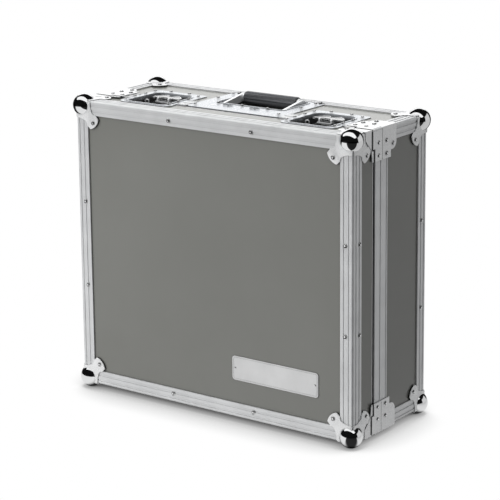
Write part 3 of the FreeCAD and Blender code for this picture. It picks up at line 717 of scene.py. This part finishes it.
def wing_rims(side):
    """Rolled rim round the outer edge of a folded wing's two lobes."""
    centre = spindle_centre(side) - Vector((0, 0, 1.9 * mm))
    radius = 25.6 * mm
    wire = 0.9 * mm
    hub = (10.5 * mm, 6.4 * mm)
    notch = ((6.0 * mm, 20.5 * mm), (3.4 * mm, 18.4 * mm))
    mesh = bmesh.new()
    for way in (-1, 1):
        points = []
        for x, y in (hub, *arc_points((0, 0), radius, 14, 69, 10), *notch):
            points.append(centre + Vector((way * x, y, 0)))
        add_tube(mesh, points, wire)
    finished_object("wing_rims_" + side, mesh, [fitting_finish], "wing_" + side,
                    math.radians(60))


def fluted_grip():
    """Rubber grip with lengthwise flutes and rounded ends, in the place of the plain one."""
    low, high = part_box("handle_grip")
    centre = (low + high) / 2
    radius = (high.z - low.z) / 2
    half = (high.x - low.x) / 2
    flutes = 14
    flute_depth = 0.6 * mm
    flute_end = half - 4.9 * mm
    steps = flutes * 6
    stations = [(-half, 0.45), (-half, 0.80), (-half + 0.8 * mm, 0.92), (-half + 2.2 * mm, 0.99),
                (-half + 5 * mm, 1.0)]
    stations += [(-x, scale) for x, scale in reversed(stations)]
    mesh = bmesh.new()
    rings = []
    for x, scale in stations:
        depth = flute_depth if abs(x) < flute_end else 0.0
        ring = []
        for step in range(steps):
            angle = 2 * math.pi * step / steps
            dip = depth * (0.5 - 0.5 * math.cos(flutes * angle)) ** 3
            reach = radius * scale - dip
            ring.append(mesh.verts.new(centre + Vector((x, reach * math.cos(angle),
                                                        reach * math.sin(angle)))))
        rings.append(ring)
    for low_ring, high_ring in zip(rings, rings[1:]):
        add_wall(mesh, low_ring, high_ring)
    mesh.faces.new(list(reversed(rings[0])))
    mesh.faces.new(rings[-1])
    grip = finished_object("handle_grip_sleeve", mesh, [rubber_finish], "handle",
                           math.radians(50))
    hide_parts("handle_grip")


def side_block(mesh, signs, face, y_from, y_to, drop_from, drop_to, low, high):
    """Add a block on a side, top or bottom face. Drops count from the case's edge, heights from
    its face."""
    corners = []
    other = 2 if face == 0 else 0
    for height in (low, high):
        for y, drop in ((y_from, drop_from), (y_to, drop_from), (y_to, drop_to), (y_from, drop_to)):
            point = middle.copy()
            point.y = y
            point[face] += signs[face] * (half_size[face] + height)
            point[other] += signs[other] * (half_size[other] - drop)
            corners.append(mesh.verts.new(point))
    mesh.faces.new(corners[:4])
    mesh.faces.new(corners[4:])
    add_wall(mesh, corners[:4], corners[4:])


def bracket_details():
    """Near-black strips of painted shade in the slits between the brackets, strips along the seam,
    and painted shadow lines at their folds.
    """
    upper_slit = (seam_y - 11.8 * mm, seam_y - 8.4 * mm)
    lower_slit = (seam_y - 6.6 * mm, seam_y - 3.0 * mm)
    fold = (seam_y + 15.7 * mm, seam_y + 17.1 * mm)
    strip_front = seam_y - 8.2 * mm
    step_front = seam_y - 2.8 * mm
    strip_rear = fold[0]
    strip_step = 27.6 * mm
    slit_step = 28.4 * mm
    slit_end = 46 * mm
    arm_end = 45.8 * mm
    slit_heights = (0.1 * mm, 1.3 * mm)
    fold_heights = (1.0 * mm, 1.3 * mm)
    strip_heights = (1.0 * mm, 1.65 * mm)
    slits = bmesh.new()
    strips = bmesh.new()
    folds = bmesh.new()
    for x_sign in (-1, 1):
        for z_sign in (-1, 1):
            signs = (x_sign, 0, z_sign)
            for face in (0, 2):
                side_block(slits, signs, face, *upper_slit, 1 * mm, slit_step, *slit_heights)
                side_block(slits, signs, face, *lower_slit, slit_step, slit_end, *slit_heights)
                side_block(folds, signs, face, *fold, 1 * mm, arm_end, *fold_heights)
                side_block(strips, signs, face, strip_front, strip_rear, 1.5 * mm, strip_step,
                           *strip_heights)
                side_block(strips, signs, face, step_front, strip_rear, strip_step, arm_end,
                           *strip_heights)
    # The slit strips and fold strips are painted shade: dark sheets where there is only shadow.
    finished_object("lid_slit_painted_shade", slits, [hollow_shade_finish], "lid")
    finished_object("base_bracket_straps", strips, [corner_finish], "base")
    finished_object("base_bracket_fold_shadows", folds, [hollow_shade_finish], "base")


def dish_rivets():
    """Rivets through the flanges of the latch dishes and of the handle dish."""
    flange_x = 42.3 * mm
    keeper_y = -40 * mm
    spots = [(x, y * mm) for x in (-flange_x, flange_x) for y in (-18, 8, 32)]
    spots += [(-18 * mm, 41 * mm), (18 * mm, 41 * mm)]
    lid = []
    base = []
    for side in ("left", "right"):
        centre = spindle_centre(side)
        for x, y in spots:
            base.append((centre + Vector((x, y, sheet)), (0, 0, 1)))
        for x in (-flange_x, flange_x):
            lid.append((centre + Vector((x, keeper_y, sheet)), (0, 0, 1)))
    handle_low, handle_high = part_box("handle_dish")
    flange_front = handle_low.y + 38.5 * mm
    flange_side = handle_high.x - 9 * mm
    for x in (-52.8 * mm, -8.8 * mm, 38.0 * mm):
        base.append((Vector((x, flange_front, top_z + sheet)), (0, 0, 1)))
    for x_sign in (-1, 1):
        for y in (handle_low.y + 12 * mm, handle_low.y + 70 * mm, handle_high.y - 14 * mm):
            base.append((Vector((x_sign * flange_side, y, top_z + sheet)), (0, 0, 1)))
    rivets("lid_dish_rivets", lid, "lid", scale=0.8)
    rivets("base_dish_rivets", base, "base", scale=0.8)


def pressed_marks():
    """Short raised beads pressed in the front flange of the handle dish."""
    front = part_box("handle_dish")[0].y
    height = top_z + 0.7 * mm
    radius = 0.9 * mm
    steps = 8
    mesh = bmesh.new()
    for x in (-34.5, -26.5, 15.0, 23.0):
        points = []
        for step in range(steps + 1):
            share = step / steps - 0.5
            points.append(Vector(((x + 2.0 * math.sin(share * math.pi)) * mm,
                                  front + (32 + 8 * share) * mm, height)))
        add_tube(mesh, points, radius)
    finished_object("handle_dish_marks", mesh, [pan_finish], "base",
                    math.radians(60))


def plate_details():
    """Fine raised border and two pins on the blank nameplate."""
    low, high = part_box("nameplate")
    inset = 2.2 * mm
    corner = 3.4 * mm
    wire = 0.35 * mm
    pin_in = 5.5 * mm
    x_low = low.x + inset
    x_high = high.x - inset
    z_low = low.z + inset
    z_high = high.z - inset
    mesh = bmesh.new()
    points = []
    centres = ((x_high - corner, z_high - corner), (x_low + corner, z_high - corner),
               (x_low + corner, z_low + corner), (x_high - corner, z_low + corner))
    for quarter, centre in enumerate(centres):
        start = 90 * quarter
        for x, z in arc_points(centre, corner, start, start + 90, 4):
            points.append(Vector((x, low.y, z)))
    points.append(points[0].copy())
    add_tube(mesh, points, wire, 6)
    finished_object("nameplate_border", mesh, [plate_finish], "lid", math.radians(60))
    pins = bmesh.new()
    profile = [(0.0, 0.8 * mm), (0.9 * mm, 0.7 * mm), (1.5 * mm, 0.35 * mm), (1.8 * mm, -0.2 * mm),
               (0.0, -0.2 * mm)]
    for x in (low.x + pin_in, high.x - pin_in):
        point = Vector((x, low.y, (low.z + high.z) / 2))
        add_turned(pins, profile, facing(point, (0, -1, 0)), 16)
    finished_object("nameplate_pins", pins, [rivet_finish], "lid", math.radians(60))


# Foam

def foam_pad(node, body):
    """Cut foam in the place of a plain node, with soft edges."""
    soft = 1.5 * mm
    mesh = bmesh.new()
    mesh.from_mesh(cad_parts[node].data)
    bmesh.ops.remove_doubles(mesh, verts=mesh.verts, dist=0.01 * mm)
    bmesh.ops.dissolve_limit(mesh, angle_limit=math.radians(1), verts=mesh.verts,
                             edges=mesh.edges)
    bmesh.ops.bevel(mesh, geom=mesh.edges[:], offset=soft, segments=3, profile=0.6,
                    affect="EDGES", clamp_overlap=True)
    pad = finished_object(node + "_pad", mesh, [foam_finish], body)
    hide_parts(node)


# Stage

# Borders of the panel at the right and of the pale wall behind, each a direction that the
# inside leans along
panel_borders = [(-0.14, 0.99, 0.0), (0.95, -0.31, 0.0), (0.475, 0.40, -1.0)]
wall_borders = [(0.50, 0.87, 0.0), (-0.98, -0.21, 0.0), (0.03, -0.04, 1.0), (-0.38, 0.52, -1.0)]

# Borders of the painted dark patch that the floor shows in reflections, in front of the front right
# ball
patch_borders = [(0.974, -0.225, 0), (-0.09, -1, 0)]

# Softness of these borders
panel_soft = 0.05
wall_soft = 0.06
patch_soft = 0.008

# Brightness in gloss of the panel, of its end on the floor, of the wall and of the dark room
panel_glow = 0.62
panel_foot_glow = 0.55
wall_glow = 1.25
room_glow = 0.005

# Ramps of the floor's painted brightness in gloss, each (from, to, low, high): away from the case,
# # towards the right, towards the back, and over the openness to the air, which paints shade under
# the case
gloss_far = (1.9, 2.6, 0.80, 0.02)
gloss_right = (0.2, 0.4, 1.0, 0.65)
gloss_back = (0.10, 0.32, 1.0, 0.03)
gloss_open = (0.30, 0.62, 0.03, 1.0)

# Side that the world's dim light comes from, and its ramp
fill_side = (-0.9, -0.3, 0.3)
fill_ramp = (-0.8, 0.8, 0.12, 0.45)

# Reach of the contact shadow, and the floor's brightness over its openness to the air, as
# steps (from, to, low, high) that are added up
contact_reach = 0.12
contact_steps = [(0.015, 0.13, 0.03, 0.29), (0.13, 0.50, 0.0, 0.22), (0.50, 0.60, 0.0, 0.25),
                 (0.60, 0.80, 0.0, 0.24)]


def combined(add, operation, first, second):
    """Sum, product or the like of a value and another one or a plain number."""
    if isinstance(second, bpy.types.NodeSocket):
        return add("ShaderNodeMath", [(first, 0), (second, 1)], operation=operation).outputs[0]
    node = add("ShaderNodeMath", [(first, 0)], operation=operation)
    node.inputs[1].default_value = second
    return node.outputs[0]


def joined(add, operation, values):
    """Several values joined one after the other by the same operation."""
    total = values[0]
    for value in values[1:]:
        total = combined(add, operation, total, value)
    return total


def leaning(add, place, direction):
    """How far a place or a direction leans along a given direction."""
    node = add("ShaderNodeVectorMath", [(place, 0)], operation="DOT_PRODUCT")
    node.inputs[1].default_value = direction
    return node.outputs["Value"]


def ray_kinds(add):
    """1 for camera rays, and 1 for camera, glossy and transmission rays."""
    path = add("ShaderNodeLightPath")
    camera = path.outputs["Is Camera Ray"]
    seen = joined(add, "MAXIMUM", [camera, path.outputs["Is Glossy Ray"],
                                   path.outputs["Is Transmission Ray"]])
    return camera, seen


def inside_planes(add, place, normals, softness):
    """1 where a direction or place leans along every given direction, with soft borders."""
    sides = [ramped(add, leaning(add, place, Vector(normal).normalized()), -softness, softness,
                    0.0, 1.0)
             for normal in normals]
    return joined(add, "MULTIPLY", sides)


def glowing(add, place, borders, softness, glow):
    """Brightness of a patch inside its borders, and 0 outside."""
    return ramped(add, inside_planes(add, place, borders, softness), 0.0, 1.0, 0.0, glow)


def make_world():
    """White to the camera; for gloss, a dark room with two pale panels; as light, dim and only
    from above the floor."""
    world = bpy.data.worlds.new("studio")
    bpy.context.scene.world = world
    world.use_nodes = True
    tree = world.node_tree
    tree.nodes.clear()
    add = node_adder(tree)
    direction = add("ShaderNodeTexCoord").outputs["Generated"]
    camera, seen = ray_kinds(add)
    panel = glowing(add, direction, panel_borders, panel_soft, panel_glow)
    wall = glowing(add, direction, wall_borders, wall_soft, wall_glow)
    room = joined(add, "MAXIMUM", [panel, wall, room_glow, camera])
    shown = add("ShaderNodeBackground", [(room, "Color")])
    from_left = ramped(add, leaning(add, direction, fill_side), *fill_ramp)
    over_floor = ramped(add, leaning(add, direction, (0, 0, 1)), -0.02, 0.02, 0.0, 1.0)
    level = combined(add, "MULTIPLY", from_left, over_floor)
    lit = add("ShaderNodeBackground", [(level, "Strength")], Color=(0.95, 0.98, 1.0, 1))
    mix = add("ShaderNodeMixShader", [(seen, 0), (lit.outputs[0], 1), (shown.outputs[0], 2)])
    add("ShaderNodeOutputWorld", [(mix.outputs[0], "Surface")])


def stage_plane(name, half_x, half_y, centre):
    """Flat sheet for the stage, with an empty material to fill."""
    mesh = bmesh.new()
    bmesh.ops.create_grid(mesh, x_segments=1, y_segments=1, size=1)
    for vertex in mesh.verts:
        vertex.co = Vector((vertex.co.x * half_x, vertex.co.y * half_y, 0)) + centre
    data = bpy.data.meshes.new(name)
    mesh.to_mesh(data)
    mesh.free()
    plane = bpy.data.objects.new(name, data)
    bpy.context.scene.collection.objects.link(plane)
    material = bpy.data.materials.new(name)
    material.use_nodes = True
    material.node_tree.nodes.clear()
    data.materials.append(material)
    return plane, node_adder(material.node_tree)


def floor_gloss(add, place, openness):
    """Painted brightness of the floor in gloss, which glows: pale round the case, painted shade
    under and behind it, and dark far off and in front of the front right ball."""
    from_ball = add("ShaderNodeVectorMath", [(place, 0)], operation="SUBTRACT")
    from_ball.inputs[1].default_value = (right_x - ball_inset, front_y + ball_inset, 0)
    dark_patch = inside_planes(add, from_ball.outputs[0], patch_borders, patch_soft)
    reach = add("ShaderNodeVectorMath", [(place, 0)], operation="LENGTH").outputs["Value"]
    # Painted shade and a painted dark patch in what reflections show of the floor.
    pale = joined(add, "MULTIPLY", [
        ramped(add, dark_patch, 0.0, 1.0, 1.0, 0.03),
        ramped(add, reach, *gloss_far),
        ramped(add, leaning(add, place, (1, 0, 0)), *gloss_right),
        ramped(add, leaning(add, place, (-0.56, 0.83, 0)), *gloss_back),
    ])
    panel_foot = glowing(add, place, panel_borders[:2], panel_soft, panel_foot_glow)
    level = combined(add, "MAXIMUM", pale, panel_foot)
    return combined(add, "MULTIPLY", level, ramped(add, openness, *gloss_open))


def make_floor():
    """Floor: only a painted contact shadow to the camera, so that an open lid below it still shows;
    a painted glow of its own in gloss; mid grey as light. Lamps shine through it."""
    floor, add = stage_plane("floor", half_x=15, half_y=15, centre=Vector((0, 0, 0)))
    floor.visible_shadow = False
    place = add("ShaderNodeTexCoord").outputs["Object"]
    camera, seen = ray_kinds(add)
    openness = add("ShaderNodeAmbientOcclusion", Distance=contact_reach, samples=32).outputs["AO"]
    steps = [ramped(add, openness, *step, "LINEAR") for step in contact_steps]
    to_camera = add("ShaderNodeBsdfTransparent", [(joined(add, "ADD", steps), "Color")])
    in_gloss = add("ShaderNodeEmission", [(floor_gloss(add, place, openness), "Strength")])
    grey = add("ShaderNodeBsdfDiffuse", Color=(0.40, 0.40, 0.40, 1))
    lit = add("ShaderNodeMixShader", [(seen, 0), (grey.outputs[0], 1), (in_gloss.outputs[0], 2)])
    mix = add("ShaderNodeMixShader", [(camera, 0), (lit.outputs[0], 1), (to_camera.outputs[0], 2)])
    add("ShaderNodeOutputMaterial", [(mix.outputs[0], "Surface")])


def make_gloss_box():
    """White sheet over the front of the case, seen only in gloss."""
    box, add = stage_plane("gloss_box", half_x=1.55, half_y=0.325,
                           centre=Vector((0, -0.39, 1.3)))
    glow = add("ShaderNodeEmission", Strength=1.0)
    add("ShaderNodeOutputMaterial", [(glow.outputs[0], "Surface")])
    box.active_material.cycles.emission_sampling = "NONE"
    box.visible_camera = False
    box.visible_diffuse = False
    box.visible_transmission = False
    box.visible_shadow = False


def area_light(name, place, target, size, power):
    """Soft lamp that looks at a point."""
    lamp = bpy.data.lights.new(name, "AREA")
    lamp.shape = "RECTANGLE"
    lamp.size, lamp.size_y = size
    lamp.energy = power
    holder = bpy.data.objects.new(name, lamp)
    holder.location = place
    holder.rotation_euler = (Vector(target) - Vector(place)).to_track_quat("-Z", "Y").to_euler()
    holder.visible_glossy = False
    holder.visible_camera = False
    bpy.context.scene.collection.objects.link(holder)


def make_lights():
    """Overhead soft box and a large one at the front left."""
    area_light("overhead", place=(-0.2, 0.3, 2.4), target=(0, 0, 0.3), size=(2.0, 1.8), power=46)
    area_light("front_left", place=(-1.8, -2.2, 1.2), target=(0, 0, 0.2), size=(1.6, 2.0),
               power=65)


def make_camera():
    """Camera at the photograph's viewpoint."""
    forward = Vector((math.sin(camera_yaw) * math.cos(camera_pitch),
                      math.cos(camera_yaw) * math.cos(camera_pitch), -math.sin(camera_pitch)))
    right = Vector((math.cos(camera_yaw), -math.sin(camera_yaw), 0))
    up = right.cross(forward)
    rolled_right = right * math.cos(camera_roll) + up * math.sin(camera_roll)
    rolled_up = up * math.cos(camera_roll) - right * math.sin(camera_roll)
    data = bpy.data.cameras.new("camera")
    data.sensor_width = sensor
    data.lens = focal_pixels / frame_pixels * sensor
    data.shift_y = (principal_row - frame_pixels / 2) / frame_pixels
    camera = bpy.data.objects.new("camera", data)
    turn = Matrix((rolled_right, rolled_up, -forward)).transposed()
    camera.matrix_world = Matrix.Translation(camera_place) @ turn.to_4x4()
    bpy.context.scene.collection.objects.link(camera)
    bpy.context.scene.camera = camera


finish_nodes()
ball_corners("lid", -1, "lid_ball_corners")
ball_corners("base", 1, "base_ball_corners")
angle_rivets()
bracket_rivets()
for latch_side in ("left", "right"):
    wing_spring(latch_side)
    lock_eye(latch_side)
    wing_rims(latch_side)
fluted_grip()
bracket_details()
dish_rivets()
pressed_marks()
plate_details()
for pad_node, pad_body in (("base_foam_back", "base"), ("base_foam_walls", "base"),
                           ("base_foam_top", "base"), ("lid_foam", "lid")):
    foam_pad(pad_node, pad_body)
make_world()
make_floor()
make_gloss_box()
make_lights()
make_camera()
bpy.context.scene.view_settings.view_transform = "Standard"
